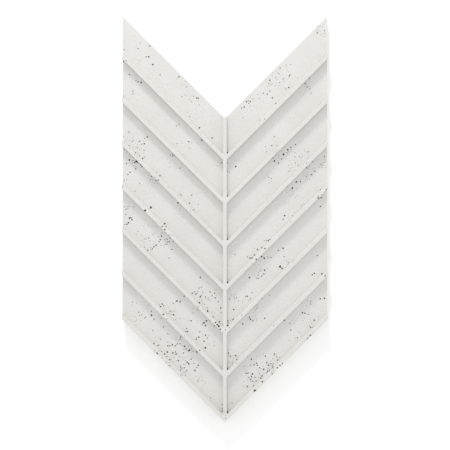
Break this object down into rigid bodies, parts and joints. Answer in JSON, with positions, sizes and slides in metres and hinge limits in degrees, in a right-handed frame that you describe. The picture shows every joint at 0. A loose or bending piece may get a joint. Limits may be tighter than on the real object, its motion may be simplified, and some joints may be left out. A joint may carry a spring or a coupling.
{
  "type": "chevron concrete wall panel",
  "caption": "Chevron-shaped cast white concrete wall panel with flat bands, thin raised V ribs and a central spine rib; glued by its flat back and butted to its neighbours in a running pattern.",
  "frame": {"origin": "middle of the flat back, half-way along the panel's overall length", "axes": "+Z out of the ribbed face, +Y along the spine towards the notch, X across the width; the panel lies on its back"},
  "size_m": [0.4, 0.792, 0.03],
  "materials": {
    "white_concrete": "matt cast white concrete with open air voids"
  },
  "bodies": {
    "root": {"chevron_panel": "white_concrete"}
  },
  "joints": []
}
